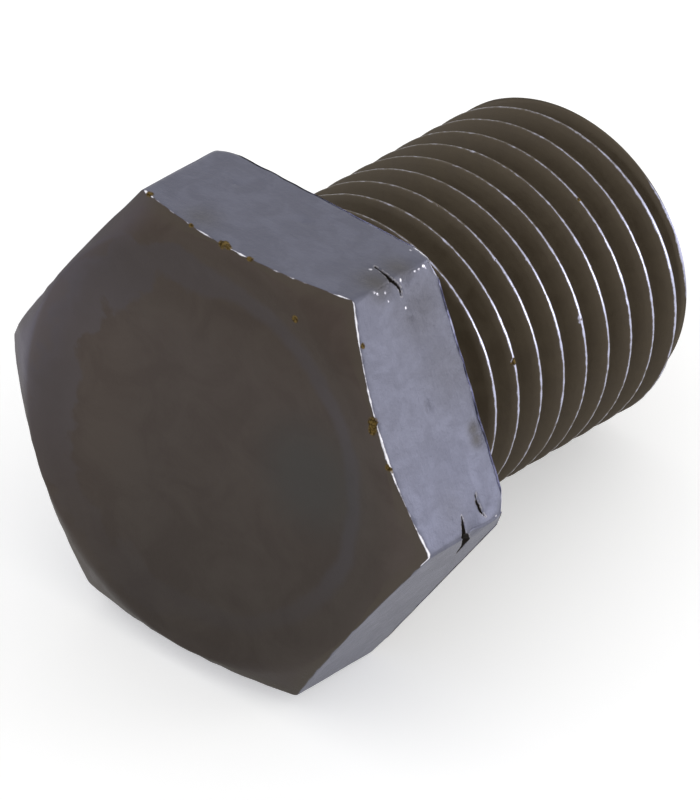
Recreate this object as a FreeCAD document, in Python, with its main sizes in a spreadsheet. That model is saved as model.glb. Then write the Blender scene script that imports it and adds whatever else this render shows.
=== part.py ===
# Drain plug: a hexagon head and a fine metric thread, forged and turned in one piece.
# It lies as it comes to rest, on the rear edge of one flat and on the last full crest.
# Millimetres, +Z up, head towards -Y, origin in the middle of the footprint.
import FreeCAD, Part
import Sketcher
import os

SIZES = {
    # Head
    "across_flats": 19.0,
    "head_height": 6.0,
    "corner_round": 0.3,
    "crown_diameter": 18.8,
    "crown_angle": 28.5,
    # Shallow dish in the top face
    "dish_rim": 17.2,
    "dish_floor": 15.2,
    "dish_depth": 0.12,
    # Rear chamfer, which takes only the hexagon's corners
    "seat_diameter": 21.0,
    "seat_angle": 22.0,
    # Shank, from the bearing face to the tip
    "shank_length": 17.8,
    "tip_diameter": 12.1,
    "tip_angle": 45.0,
    # Turned relief under the head, where the thread ends
    "relief_diameter": 11.7,
    "relief_width": 2.0,
    "relief_angle": 60.0,
    "relief_corner": 0.6,
    # Thread
    "thread_diameter": 14.0,
    "thread_pitch": 1.5,
    "flank_angle": 60.0,
    "crest_share": 0.125,
    "depth_share": 0.613,
    "thread_lead": 1.98,
}

# Room that a cutting profile takes outside the metal, and how far the shank starts inside the head
CLEAR = "1"
INSIDE = "sizes.head_height / 2"

# Heights and radii that several features share, worked out from the sizes
CORNER = "(sizes.across_flats / 2 / cos(30))"
OUTSIDE = f"({CORNER} + {CLEAR})"
CROWN = "(sizes.crown_diameter / 2)"
SEAT = "(sizes.seat_diameter / 2)"
MAJOR = "(sizes.thread_diameter / 2)"
NECK = "(sizes.relief_diameter / 2)"
TIP = "(sizes.tip_diameter / 2)"
TIP_CHAMFER = f"(({MAJOR} - {TIP}) * tan(sizes.tip_angle))"
RELIEF_END = f"(sizes.relief_width + ({MAJOR} - {NECK}) / tan(sizes.relief_angle))"
THREAD_DEPTH = "(sizes.depth_share * sizes.thread_pitch)"
HALF_CREST = "(sizes.crest_share * sizes.thread_pitch / 2)"
HALF_CUT = f"(sizes.thread_pitch / 2 - {HALF_CREST})"
FLANK = "tan(sizes.flank_angle / 2)"


def make_sheet(doc):
    """The driving dimensions, one named cell each."""
    sheet = doc.addObject("Spreadsheet::Sheet", "sizes")
    for row, (name, value) in enumerate(SIZES.items(), start=1):
        sheet.set(f"A{row}", name)
        sheet.set(f"B{row}", str(value))
        sheet.setAlias(f"B{row}", name)
    doc.recompute()


def polygon(body, name, plane, corners):
    """A closed sketch on one of the body's origin planes, each corner tied to two expressions."""
    sketch = body.newObject("Sketcher::SketchObject", name)
    base = next(f for f in body.Origin.OriginFeatures if f.Role == plane)
    sketch.AttachmentSupport = (base, [""])
    sketch.MapMode = "FlatFace"
    places = [[float(body.evalExpression(text)) for text in corner] for corner in corners]
    points = [FreeCAD.Vector(across, along, 0) for across, along in places]
    for start, end in zip(points, points[1:] + points[:1]):
        sketch.addGeometry(Part.LineSegment(start, end), False)
    for line in range(len(points)):
        follower = (line + 1) % len(points)
        sketch.addConstraint(Sketcher.Constraint("Coincident", line, 2, follower, 1))
    for line, (corner, place) in enumerate(zip(corners, places)):
        for kind, text, value in zip(("DistanceX", "DistanceY"), corner, place):
            index = sketch.addConstraint(Sketcher.Constraint(kind, -1, 1, line, 1, value))
            sketch.setExpression(f"Constraints[{index}]", text)
    return sketch


def turned(body, kind, name, corners):
    """A full turn about the plug's axis, which adds (Revolution) or cuts (Groove)."""
    sketch = polygon(body, f"{name}_profile", "XZ_Plane", corners)
    feature = body.newObject(f"PartDesign::{kind}", name)
    feature.Profile = sketch
    feature.ReferenceAxis = (sketch, ["V_Axis"])
    feature.Angle = 360
    body.Document.recompute()
    return feature


def hexagon_blank(body):
    """The forged hexagon, with its six upright edges rounded."""
    corners = [(f"{CORNER} * cos({60 * i})", f"{CORNER} * sin({60 * i})") for i in range(6)]
    blank = body.newObject("PartDesign::Pad", "head_blank")
    blank.Profile = polygon(body, "hexagon", "XY_Plane", corners)
    blank.setExpression("Length", "sizes.head_height")
    body.Document.recompute()
    edges = enumerate(blank.Shape.Edges, start=1)
    upright = [f"Edge{number}" for number, edge in edges if edge.BoundBox.ZLength > 0.001]
    fillet = body.newObject("PartDesign::Fillet", "hexagon_corners")
    fillet.Base = (blank, upright)
    fillet.setExpression("Radius", "sizes.corner_round")
    body.Document.recompute()


def turned_head(body):
    """What the lathe leaves on the head: chamfered crown, dished top face and chamfered rear corners."""
    top = "sizes.head_height"
    turned(body, "Groove", "crown_chamfer", [
        (CROWN, top),
        (OUTSIDE, f"{top} - ({OUTSIDE} - {CROWN}) * tan(sizes.crown_angle)"),
        (OUTSIDE, f"{top} + {CLEAR}"),
        (CROWN, f"{top} + {CLEAR}"),
    ])
    turned(body, "Groove", "dish", [
        ("0", f"{top} - sizes.dish_depth"),
        ("sizes.dish_floor / 2", f"{top} - sizes.dish_depth"),
        ("sizes.dish_rim / 2", top),
        ("sizes.dish_rim / 2", f"{top} + {CLEAR}"),
        ("0", f"{top} + {CLEAR}"),
    ])
    turned(body, "Groove", "seat_chamfer", [
        (SEAT, "0"),
        (OUTSIDE, f"({OUTSIDE} - {SEAT}) * tan(sizes.seat_angle)"),
        (OUTSIDE, f"-{CLEAR}"),
        (SEAT, f"-{CLEAR}"),
    ])


def shank(body):
    """The turned shank: relief under the head, thread blank and chamfered tip."""
    turned(body, "Revolution", "shank_blank", [
        ("0", INSIDE),
        (f"{NECK} + sizes.relief_corner", INSIDE),
        (f"{NECK} + sizes.relief_corner", "0"),
        (NECK, "-sizes.relief_corner"),
        (NECK, "-sizes.relief_width"),
        (MAJOR, f"-{RELIEF_END}"),
        (MAJOR, f"{TIP_CHAMFER} - sizes.shank_length"),
        (TIP, "-sizes.shank_length"),
        ("0", "-sizes.shank_length"),
    ])


def thread(body):
    """The right-hand thread, cut from before the tip into the relief under the head."""
    start = "(-sizes.shank_length - sizes.thread_lead)"
    root = f"({MAJOR} - {THREAD_DEPTH})"
    half_root = f"({HALF_CUT} - {THREAD_DEPTH} * {FLANK})"
    outer = f"({MAJOR} + {CLEAR} / 10)"
    half_outer = f"({HALF_CUT} + {CLEAR} / 10 * {FLANK})"
    profile = polygon(body, "thread_profile", "XZ_Plane", [
        (root, f"{start} - {half_root}"),
        (outer, f"{start} - {half_outer}"),
        (outer, f"{start} + {half_outer}"),
        (root, f"{start} + {half_root}"),
    ])
    cut = body.newObject("PartDesign::SubtractiveHelix", "thread")
    cut.Profile = profile
    cut.ReferenceAxis = (profile, ["V_Axis"])
    cut.Mode = "pitch-height-angle"
    cut.setExpression("Pitch", "sizes.thread_pitch")
    cut.setExpression("Height", f"-{start} - sizes.relief_width / 2")
    body.Document.recompute()
    return cut


def lay_down(body):
    """Turns the plug onto the rear edge of a flat and the last full crest, centred over the origin."""
    crest_from_tip = "(1.25 * sizes.thread_pitch - sizes.thread_lead)"
    chamfered = f"({TIP_CHAMFER} + {HALF_CREST})"
    to_full = f"mod({crest_from_tip} - {chamfered} + 10 * sizes.thread_pitch; sizes.thread_pitch)"
    rest = body.Document.addObject("App::VarSet", "rest")
    rest.addProperty("App::PropertyFloat", "reach")
    rest.addProperty("App::PropertyAngle", "tilt")
    rest.setExpression("reach", f"sizes.shank_length - {chamfered} - {to_full} + {HALF_CREST}")
    rest.setExpression("tilt", f"atan((sizes.across_flats / 2 - {MAJOR}) / rest.reach)")
    front = f"{CROWN} * sin(rest.tilt) + sizes.head_height * cos(rest.tilt)"
    back = f"{TIP} * sin(rest.tilt) + sizes.shank_length * cos(rest.tilt)"
    body.Placement = FreeCAD.Placement(FreeCAD.Vector(), FreeCAD.Rotation(FreeCAD.Vector(1, 0, 0), 90))
    body.setExpression("Placement.Rotation.Angle", "90 deg - rest.tilt")
    body.setExpression("Placement.Base.y", f"({front} - ({back})) / 2")
    body.setExpression("Placement.Base.z", "sizes.across_flats / 2 * cos(rest.tilt)")


def make_drain_plug(doc):
    body = doc.addObject("PartDesign::Body", "drain_plug")
    body.Label = "drain_plug"
    hexagon_blank(body)
    turned_head(body)
    shank(body)
    body.Tip = thread(body)
    lay_down(body)
    doc.recompute()
    return body


def check(doc, body):
    """Stops before anything is written if an object failed or the part isn't one valid solid."""
    for item in doc.Objects:
        if "Invalid" in item.State or "Error" in item.State:
            raise RuntimeError(f"{item.Label} failed: {item.State}")
    shape = body.Shape
    if shape.isNull() or not shape.isValid() or len(shape.Solids) != 1:
        raise RuntimeError(f"{body.Label} isn't one valid solid")


document = FreeCAD.newDocument("drain_plug")
make_sheet(document)
plug = make_drain_plug(document)
check(document, plug)
os.makedirs("parts", exist_ok=True)
plug.Shape.exportStep(f"parts/{plug.Label}.step")
print(f"{plug.Label}: {plug.Shape.Volume:.1f} cubic millimetres, box {plug.Shape.BoundBox}")
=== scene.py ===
# Looks of the drain plug: one forged and turned piece of blackened steel, worn along its edges.
# The plug's own frame has its origin on the axis at the bearing face, +z to the top face of the
# head and +y out of the flat that lies uppermost. Sizes are in millimetres, Blender's in metres.
import math

import bmesh
import bpy
import numpy as np
from mathutils import Matrix, Vector, noise


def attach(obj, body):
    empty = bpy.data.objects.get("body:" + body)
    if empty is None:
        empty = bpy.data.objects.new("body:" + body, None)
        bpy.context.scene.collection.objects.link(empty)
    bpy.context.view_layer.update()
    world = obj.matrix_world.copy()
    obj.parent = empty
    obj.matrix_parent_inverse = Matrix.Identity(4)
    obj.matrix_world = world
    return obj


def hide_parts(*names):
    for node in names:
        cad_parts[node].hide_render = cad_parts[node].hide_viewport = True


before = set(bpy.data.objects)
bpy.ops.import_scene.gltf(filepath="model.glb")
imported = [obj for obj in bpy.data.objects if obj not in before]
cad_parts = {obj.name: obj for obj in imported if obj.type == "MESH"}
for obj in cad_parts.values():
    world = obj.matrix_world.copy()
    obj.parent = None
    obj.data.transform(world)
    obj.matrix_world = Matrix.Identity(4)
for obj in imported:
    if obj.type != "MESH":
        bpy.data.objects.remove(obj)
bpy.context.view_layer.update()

MM = 0.001

# Head
ACROSS_FLATS = 19.0
HEAD_HEIGHT = 6.0
CORNER_ROUND = 0.3
CROWN_DIAMETER = 18.8
CROWN_SLOPE = math.tan(math.radians(28.5))
DISH_RIM = 17.2
DISH_FLOOR = 15.2
DISH_DEPTH = 0.12
SEAT_DIAMETER = 21.0
SEAT_SLOPE = math.tan(math.radians(22.0))
# Shank
SHANK_LENGTH = 17.8
TIP_DIAMETER = 12.1
TIP_SLOPE = math.tan(math.radians(45.0))
RELIEF_DIAMETER = 11.7
RELIEF_WIDTH = 2.0
RELIEF_SLOPE = math.tan(math.radians(60.0))
RELIEF_CORNER = 0.6
# Thread
THREAD_DIAMETER = 14.0
PITCH = 1.5
FLANK_SLOPE = math.tan(math.radians(60.0))
HALF_CREST = 0.125 * PITCH / 2
THREAD_DEPTH = 0.613 * PITCH
THREAD_LEAD = 1.98

TURN = 2 * math.pi
FLAT = ACROSS_FLATS / 2
CORNER = FLAT / math.cos(math.radians(30))
HALF_SIDE = CORNER / 2
CROWN = CROWN_DIAMETER / 2
SEAT = SEAT_DIAMETER / 2
MAJOR = THREAD_DIAMETER / 2
NECK = RELIEF_DIAMETER / 2
TIP = TIP_DIAMETER / 2
TIP_CHAMFER = (MAJOR - TIP) * TIP_SLOPE
# How far the rounding of an upright corner reaches onto the flats
ROUND_REACH = CORNER_ROUND * math.tan(math.radians(30))

# How the plug lies: tilted onto the rear edge of a flat and the last full crest
CHAMFERED = TIP_CHAMFER + HALF_CREST
TO_FULL = (1.25 * PITCH - THREAD_LEAD - CHAMFERED + 10 * PITCH) % PITCH
REACH = SHANK_LENGTH - CHAMFERED - TO_FULL + HALF_CREST
TILT = math.atan((FLAT - MAJOR) / REACH)
FRONT = CROWN * math.sin(TILT) + HEAD_HEIGHT * math.cos(TILT)
BACK = TIP * math.sin(TILT) + SHANK_LENGTH * math.cos(TILT)
PLACE = Vector((0, (FRONT - BACK) / 2, FLAT * math.cos(TILT)))
LAID = Matrix.Translation(PLACE) @ Matrix.Rotation(math.radians(90) - TILT, 4, "X")

# Flats by the direction of their normal, in degrees from the plug's +x
TOP_FLAT = 90
RIGHT_FLAT = 30
LOWER_FLAT = -30
LEFT_FLAT = 150

# Mesh: widths of the columns on a flat, near one corner, in the middle and near the other
COLUMN_STEPS = {
    TOP_FLAT: (0.075, 0.15, 0.15),
    RIGHT_FLAT: (0.075, 0.15, 0.075),
    LOWER_FLAT: (0.45, 0.3, 0.1),
}
HIDDEN_STEPS = (0.5, 0.5, 0.5)
# How far from a corner the flat's outer columns go, how many share half a rounded corner, and how far
# the flat's own columns keep clear of it
NEAR_CORNER = 2.2
ROUND_COLUMNS = 4
CLEAR_OF_ROUND = 1.02
# Rows across half a thread, as shares of half the crest and then of the flank beside it
CREST_ROWS = (0.65, 1.25)
FLANK_ROWS = (0.3, 0.64, 0.93, 1.08)
# Radii of the rows on the tip's end face, and of the first row on the top face
END_FACE_ROWS = (TIP, 5.2, 3.0, 1.0)
FACE_MIDDLE = 0.7
# Points closer together than this are one
WELD = 0.0001

# Roundings of the edges, some of them softer than in the part's source because they are worn
SOFT_DISH_FLOOR = 0.3
SOFT_DISH_RIM = 0.2
SOFT_CROWN = 0.5
SOFT_FRONT = 0.09
SOFT_REAR = 0.07
SOFT_SEAT = 0.05
SOFT_RELIEF_TOP = 0.1
SOFT_RELIEF_FLOOR = 0.2
# The most of a side that a rounding can take, and the least that the bearing face stays inside a flat
ROUNDING_SHARE = 0.45
SEAT_INSET = 0.03

# Noise of the wear, each pattern the size of its lumps and a seed
SWELLS = (1.7, 11)
RIPPLES = (0.45, 12)
PITTING = (0.36, 13)
FINE = (0.3, 4)
PATCHES = (0.8, 5)
RAGGED = (0.25, 7)
CHIPPING = (0.55, 21)
NIBBLES = (0.3, 22)
DENTS = (0.8, 31)
BENDS = (1.5, 33)
RUBBING = (0.7, 35)
BURRS = (0.4, 41)
# Depths that the wear takes off, each for one kind of noise
SWELL_DEPTH = 0.012
RIPPLE_DEPTH = 0.005
PITTING_DEPTH = 0.028
CHIPPING_DEPTH = 0.05
NIBBLE_DEPTH = 0.02
DENT_DEPTH = 0.05
BEND_DEPTH = 0.04
RUBBING_DEPTH = 0.03
BURR_DEPTH = 0.03
# How much of the pitting is left where nothing is stained, and of the swells on the thread
CLEAN_PITTING = 0.35
THREAD_SWELLS = 0.4
# Depth of a chip, as a share of the width of its strip
CHIP_DEPTH = 0.5
# The front edge's chipping starts at the first value of its noise and is full at the second
CHIPPING_START = (0.0, 0.6)
# How far from its edge each kind of wear reaches
FRONT_REACH = 0.3
REAR_REACH = 0.3
BEND_REACH = 1.1
CORNER_REACH = 0.35
# How far below the crests the burrs reach
BURR_REACH = 0.02
# How ragged a nick is, and how far outside its line the metal starts to sink
NICK_RAGGED = 0.02
NICK_SHOULDER = -0.03

# Strips of bare metal along the edges: how far they reach, and how much patchy and fine noise change that
CORNER_STRIP = (-0.03, 0.08, 0.03)
REAR_STRIP = (0.03, 0.03, 0.02)
CREST_STRIP = (0.034, 0.014, 0.018)
# The front edge's strip on the right, top and other flats, and how much fine noise changes it
FRONT_RIGHT = 0.042
FRONT_TOP = 0.013
FRONT_HIDDEN = -0.01
FRONT_FINE = 0.020
# What the rear edge's strip gains where the camera sees it, as a painted highlight along that edge, and
# where on the top flat that begins
REAR_SEEN_HIGHLIGHT = 0.09
TOP_REAR_HIGHLIGHT = (1.5, -1.0)
# The crests' bare strip is widened most in this direction, in degrees, fading over the spread: a painted
# highlight on the crests' lit side. There their strip gains the last of these.
HIGHLIGHT_TOWARDS = 28
HIGHLIGHT_SPREAD = 38
CREST_HIGHLIGHT = 0.034
# What the last crest's strip gains, between the first height and the second
LAST_CREST = 0.020
LAST_CREST_HEIGHTS = (-15.0, -16.0)
# The most that a crest's strip reaches, apart from the highlight's direction and on top of that in it, and
# the angles between which the first of them ends, which leaves the crests dark at the top as painted shade
CREST_WIDEST = 0.012
HIGHLIGHT_WIDEST = 0.050
CREST_ENDS = (100, 60)
# How far below a full crest the metal can still be bare, and how fast it ends there
CREST_DROP = 0.12
DROP_FALL = 2
# The edge between the thread and the tip's chamfer: its strip in the painted highlight's direction, how
# much patchy noise changes it, how fast it ends, and how far inside the tip's radius it stops
TIP_HIGHLIGHT = 0.12
TIP_PATCHY = 0.04
TIP_FALL = 0.7
TIP_MARGIN = 0.01
# Round spots of bare metal, those on the flats also painted glints: how ragged they are and how bright they
# are
SPOT_RAGGED = 0.5
SPOT_BRIGHT = 0.03
# How far the rust spreads round a spot on the thread
RUST_SPREAD = 1.3
# Stain on the crown chamfer beside the front edge: its strength and the distances over which it fades
FRONT_STAIN = 0.5
FRONT_STAIN_REACH = (0.9, 0.1)
# What stands for no corner near, and for well outside all bare metal and nicks
FAR = 9.0
OUTSIDE = -1.0
# How far inside the hexagon a point still counts as on its side, and how far off the bearing face or
# the crown chamfer one still counts as on it
SIDE_MARGIN = 0.1
ON_SURFACE = 0.01
# The flats end where the mesh faces along the axis by more than this share
END_FACING = 0.35
# The finishes, by their places in the mesh's list of materials
FACE_FINISH = 0
FLAT_FINISH = 1
THREAD_FINISH = 2

# Nicks struck into the head, each a depth and a line of points: the flat, the place across it and up
# from the bearing face, and half the nick's width there
NICKS = [
    (0.14, [
        (TOP_FLAT, -4.41, 2.46, 0.05),
        (TOP_FLAT, -4.88, 2.54, 0.06),
        (TOP_FLAT, -5.46, 2.66, 0.09),
        (RIGHT_FLAT, 5.15, 2.45, 0.08),
        (RIGHT_FLAT, 4.98, 2.36, 0.06),
        (RIGHT_FLAT, 4.66, 2.41, 0.03),
    ]),
    (0.18, [
        (RIGHT_FLAT, -4.62, 2.74, 0.03),
        (RIGHT_FLAT, -4.98, 2.82, 0.10),
        (RIGHT_FLAT, -5.44, 2.90, 0.17),
        (LOWER_FLAT, 5.20, 2.64, 0.20),
        (LOWER_FLAT, 4.60, 2.18, 0.22),
        (LOWER_FLAT, 3.54, 1.91, 0.06),
    ]),
    (0.12, [
        (RIGHT_FLAT, -4.05, 1.60, 0.02),
        (RIGHT_FLAT, -4.40, 1.66, 0.07),
        (RIGHT_FLAT, -4.80, 1.58, 0.08),
        (RIGHT_FLAT, -5.18, 1.35, 0.02),
    ]),
]
# Shallow dints pressed into the flats: flat, across, height, radius, depth
DINTS = [
    (TOP_FLAT, 3.21, 1.92, 0.20, 0.04),
    (TOP_FLAT, -0.46, 2.04, 0.25, 0.05),
    (TOP_FLAT, -4.39, 2.72, 0.12, 0.05),
    (TOP_FLAT, -5.30, 1.20, 0.40, 0.06),
    (RIGHT_FLAT, 5.30, 3.10, 0.55, 0.14),
    (RIGHT_FLAT, 5.25, 1.90, 0.30, 0.10),
    (RIGHT_FLAT, 4.10, 2.50, 0.60, 0.05),
    (RIGHT_FLAT, 2.10, 1.20, 0.40, 0.03),
    (RIGHT_FLAT, 0.18, 2.76, 0.12, 0.06),
    (RIGHT_FLAT, -0.10, 2.74, 0.14, 0.07),
    (RIGHT_FLAT, 3.60, 2.26, 0.14, 0.04),
    (RIGHT_FLAT, -2.40, 2.90, 0.35, 0.03),
    (RIGHT_FLAT, -5.00, 1.20, 0.50, 0.06),
    (RIGHT_FLAT, -5.45, 2.20, 0.45, 0.14),
    (TOP_FLAT, 5.48, 0.00, 0.35, 0.16),
    (RIGHT_FLAT, -5.48, 0.10, 0.55, 0.16),
    (LEFT_FLAT, 5.45, 4.70, 0.70, 0.12),
]
# Where the front edge has lost more of its blackening: flat, across, half length, width of the strip
CHIPS = [
    (TOP_FLAT, 5.25, 0.12, 0.09),
    (TOP_FLAT, 4.88, 0.10, 0.07),
    (TOP_FLAT, 4.50, 0.08, 0.04),
    (TOP_FLAT, 2.60, 0.06, 0.05),
    (TOP_FLAT, 1.55, 0.55, 0.035),
    (TOP_FLAT, 0.18, 0.08, 0.05),
    (TOP_FLAT, -0.28, 0.12, 0.07),
    (TOP_FLAT, -2.06, 0.08, 0.03),
    (TOP_FLAT, -2.78, 0.12, 0.035),
    (TOP_FLAT, -4.90, 0.60, 0.025),
    (RIGHT_FLAT, 4.60, 1.00, 0.055),
    (RIGHT_FLAT, 1.80, 0.90, 0.02),
    (RIGHT_FLAT, -1.00, 1.30, 0.06),
    (RIGHT_FLAT, -4.95, 0.65, 0.07),
    (LOWER_FLAT, 5.15, 0.35, 0.09),
]
# Bright specks on the flats, bare metal that also serves as painted glints: flat, across, height, radius
GLINT_SPECKS = [
    (TOP_FLAT, -4.39, 2.72, 0.10),
    (TOP_FLAT, 3.21, 1.92, 0.05),
    (TOP_FLAT, -0.46, 2.04, 0.04),
    (TOP_FLAT, -4.59, 0.39, 0.06),
    (RIGHT_FLAT, 5.35, 3.85, 0.08),
    (RIGHT_FLAT, 5.22, 3.70, 0.08),
    (RIGHT_FLAT, 5.06, 3.16, 0.08),
    (RIGHT_FLAT, 4.72, 3.19, 0.06),
    (RIGHT_FLAT, 5.25, 2.16, 0.08),
    (RIGHT_FLAT, 4.13, 2.33, 0.06),
    (RIGHT_FLAT, 5.30, 1.25, 0.06),
    (RIGHT_FLAT, 5.30, 1.00, 0.07),
    (RIGHT_FLAT, 5.32, 0.70, 0.09),
    (RIGHT_FLAT, 5.20, 0.62, 0.06),
    (RIGHT_FLAT, -5.40, 0.74, 0.08),
]
# Rust on the flats and the front edge: flat, across, height, radius
HEAD_RUST = [
    (TOP_FLAT, 5.05, 5.20, 0.20),
    (TOP_FLAT, 0.67, 5.84, 0.26),
    (TOP_FLAT, 0.35, 5.90, 0.16),
    (TOP_FLAT, -0.73, 5.92, 0.16),
    (TOP_FLAT, 2.45, 5.78, 0.14),
    (RIGHT_FLAT, -1.47, 5.90, 0.16),
    (RIGHT_FLAT, 3.64, 5.40, 0.13),
]
# Rust on the top face: angle round the plug in degrees, distance from the axis, radius
FACE_RUST = [
    (33.6, 9.36, 0.26),
    (31.8, 9.20, 0.22),
    (67.0, 8.60, 0.18),
    (22.0, 9.50, 0.14),
]
# Brown tinge over the steel: flat, across, height, radius, strength
STAINS = [
    (TOP_FLAT, -5.20, 3.30, 0.80, 0.9),
    (TOP_FLAT, -5.10, 1.80, 0.70, 0.7),
    (TOP_FLAT, 2.50, 4.99, 0.80, 0.5),
    (RIGHT_FLAT, 3.80, 1.60, 1.60, 0.35),
    (RIGHT_FLAT, 1.20, 1.10, 1.60, 0.25),
    (RIGHT_FLAT, -1.70, 0.62, 0.35, 0.9),
    (RIGHT_FLAT, -2.10, 0.62, 0.35, 0.9),
    (RIGHT_FLAT, -4.20, 3.20, 0.90, 0.2),
]
# Specks on the thread's crests: angle round the plug in degrees, height, radius, and how rusty.
# Each sits on the crest nearest to its height.
THREAD_SPECKS = [
    (23.8, -9.70, 0.22, 0.2),
    (22.7, -5.41, 0.14, 1.0),
    (97.3, -11.27, 0.11, 0.0),
    (60.0, -12.20, 0.09, 0.8),
    (46.0, -15.70, 0.09, 0.0),
    (90.0, -14.70, 0.08, 0.0),
    (42.0, -11.20, 0.10, 0.0),
    (51.0, -8.60, 0.09, 0.0),
    (83.0, -7.30, 0.07, 0.6),
    (56.0, -7.20, 0.08, 0.3),
]


def on_flat(flat, across, height):
    """A point on a flat, across it from its middle and up from the bearing face."""
    angle = math.radians(flat)
    return np.array([
        FLAT * math.cos(angle) - across * math.sin(angle),
        FLAT * math.sin(angle) + across * math.cos(angle),
        height,
    ])


def smooth(low, high, value):
    """0 before low, 1 beyond high and a soft step between. Low can be the larger of the two."""
    share = np.clip((value - low) / (high - low), 0, 1)
    return share * share * (3 - 2 * share)


def near(gap, reach):
    """1 at an edge, falling to 0 at the reach."""
    return np.maximum(1 - gap / reach, 0) ** 2


def lumps(points, pattern):
    """Soft noise from -1 to 1 at each point, in lumps of the pattern's size."""
    size, seed = pattern
    shift = Vector((seed, 2 * seed, 3 * seed))
    return np.array([noise.noise(Vector(point) / size + shift) for point in points])


def inside_line(points, line):
    """How far each point is inside a line whose half width changes along it, negative outside."""
    inside = np.full(len(points), OUTSIDE)
    places = [(on_flat(*stop[:3]), stop[3]) for stop in line]
    for (start, wide), (end, wide_end) in zip(places, places[1:]):
        run = end - start
        share = np.clip((points - start) @ run / (run @ run), 0, 1)
        gap = np.linalg.norm(points - start - share[:, None] * run, axis=1)
        inside = np.maximum(inside, wide + (wide_end - wide) * share - gap)
    return inside


# The plug's surface, as rows of points that each go once round the axis

def columns():
    """Directions round the axis, closer together where the wear is and on the rounded corners."""
    inner = HALF_SIDE - CLEAR_OF_ROUND * ROUND_REACH
    angles = []
    for flat in range(LOWER_FLAT, LOWER_FLAT + 360, 60):
        edges = (-inner, -inner + NEAR_CORNER, inner - NEAR_CORNER, inner)
        for low, high, step in zip(edges, edges[1:], COLUMN_STEPS.get(flat, HIDDEN_STEPS)):
            across = np.linspace(low, high, round((high - low) / step), endpoint=False)
            angles += list(math.radians(flat) + np.arctan2(across, FLAT))
        arc = np.linspace(inner, HALF_SIDE, ROUND_COLUMNS)
        angles += list(math.radians(flat) + np.arctan2(arc, FLAT))
        angles += list(math.radians(flat + 60) - np.arctan2(arc[-2:0:-1], FLAT))
    return np.array(angles + [angles[0] + TURN])


def hexagon_radius(angle):
    """The hexagon's outline with its rounded corners."""
    from_corner = np.abs((angle + TURN / 12) % (TURN / 6) - TURN / 12)
    straight = FLAT / np.cos(TURN / 12 - from_corner)
    centre = CORNER - CORNER_ROUND / math.sin(math.radians(60))
    reach = np.maximum(CORNER_ROUND ** 2 - (centre * np.sin(from_corner)) ** 2, 0)
    rounded = centre * np.cos(from_corner) + np.sqrt(reach)
    to_corner = HALF_SIDE - FLAT * np.tan(TURN / 12 - from_corner)
    return np.where(to_corner < ROUND_REACH, rounded, straight)


def front_edge(hexagon):
    """Height of the edge between a flat and the crown chamfer."""
    return HEAD_HEIGHT - (hexagon - CROWN) * CROWN_SLOPE


def rear_edge(hexagon):
    """Height of the edge between a flat and the bearing face or its corner chamfer."""
    return np.maximum((hexagon - SEAT) * SEAT_SLOPE, 0)


def straight_rows(start, end, count):
    return [start + (end - start) * share for share in np.linspace(0, 1, count, endpoint=False)]


def path(stops):
    """Rows along a profile with softened corners. A stop is its radius, its height, the size of
    its rounding, the rows in that rounding and the rows on the way to the next stop."""
    points = [np.stack(np.broadcast_arrays(*stop[:2]), axis=-1) for stop in stops]
    rows = []
    begin = points[0]
    for here, after, before, stop, last in zip(points[1:], points[2:], points, stops[1:], stops):
        back = before - here
        on = after - here
        room_back = np.linalg.norm(back, axis=-1, keepdims=True)
        room_on = np.linalg.norm(on, axis=-1, keepdims=True)
        cut = np.minimum(stop[2], ROUNDING_SHARE * np.minimum(room_back, room_on))
        start = here + back / room_back * cut
        end = here + on / room_on * cut
        rows += straight_rows(begin, start, last[4])
        for share in np.linspace(0, 1, stop[3], endpoint=False):
            rows.append((1 - share) ** 2 * start + 2 * share * (1 - share) * here + share ** 2 * end)
        begin = end
    return rows + straight_rows(begin, points[-1], stops[-2][4])


def head_rows(angle):
    """The head, from near the middle of its top face round to the end of the relief's floor."""
    hexagon = hexagon_radius(angle)
    one = np.ones_like(angle)
    floor = HEAD_HEIGHT - DISH_DEPTH
    return path([
        (FACE_MIDDLE * one, floor, 0, 0, 8),
        (DISH_FLOOR / 2 * one, floor, SOFT_DISH_FLOOR, 4, 3),
        (DISH_RIM / 2 * one, HEAD_HEIGHT, SOFT_DISH_RIM, 4, 4),
        (CROWN * one, HEAD_HEIGHT, SOFT_CROWN, 6, 8),
        (hexagon, front_edge(hexagon), SOFT_FRONT, 5, 60),
        (hexagon, rear_edge(hexagon), SOFT_REAR, 4, 2),
        (np.minimum(hexagon - SEAT_INSET, SEAT), 0, SOFT_SEAT, 3, 7),
        ((NECK + RELIEF_CORNER) * one, 0, SOFT_RELIEF_TOP, 2, 2),
        (NECK * one, -RELIEF_CORNER, SOFT_RELIEF_FLOOR, 2, 3),
        (NECK * one, -RELIEF_WIDTH, 0, 0, 0),
    ])


def first_crest(angle):
    """Height of the thread's crest at an angle round the plug, on the turn that starts below the tip."""
    return PITCH * (angle / TURN + 0.5) - SHANK_LENGTH - THREAD_LEAD


def from_crest(angle, height):
    """Distance along the plug from the middle of the nearest thread crest."""
    groove = PITCH * angle / TURN - SHANK_LENGTH - THREAD_LEAD
    return np.abs((height - groove) % PITCH - PITCH / 2)


def groove_depth(angle, height):
    """How far the thread's surface lies below its crests."""
    return np.clip((from_crest(angle, height) - HALF_CREST) * FLANK_SLOPE, 0, THREAD_DEPTH)


def tip_chamfer(height):
    """Radius of the chamfer at the tip."""
    return TIP + (height + SHANK_LENGTH) / TIP_SLOPE


def thread_radius(angle, height):
    """The shank's surface: the thread, cut down by the relief's cone and the tip's chamfer."""
    relief = NECK + (-RELIEF_WIDTH - height) * RELIEF_SLOPE
    return np.minimum(np.minimum(MAJOR - groove_depth(angle, height), relief), tip_chamfer(height))


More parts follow.
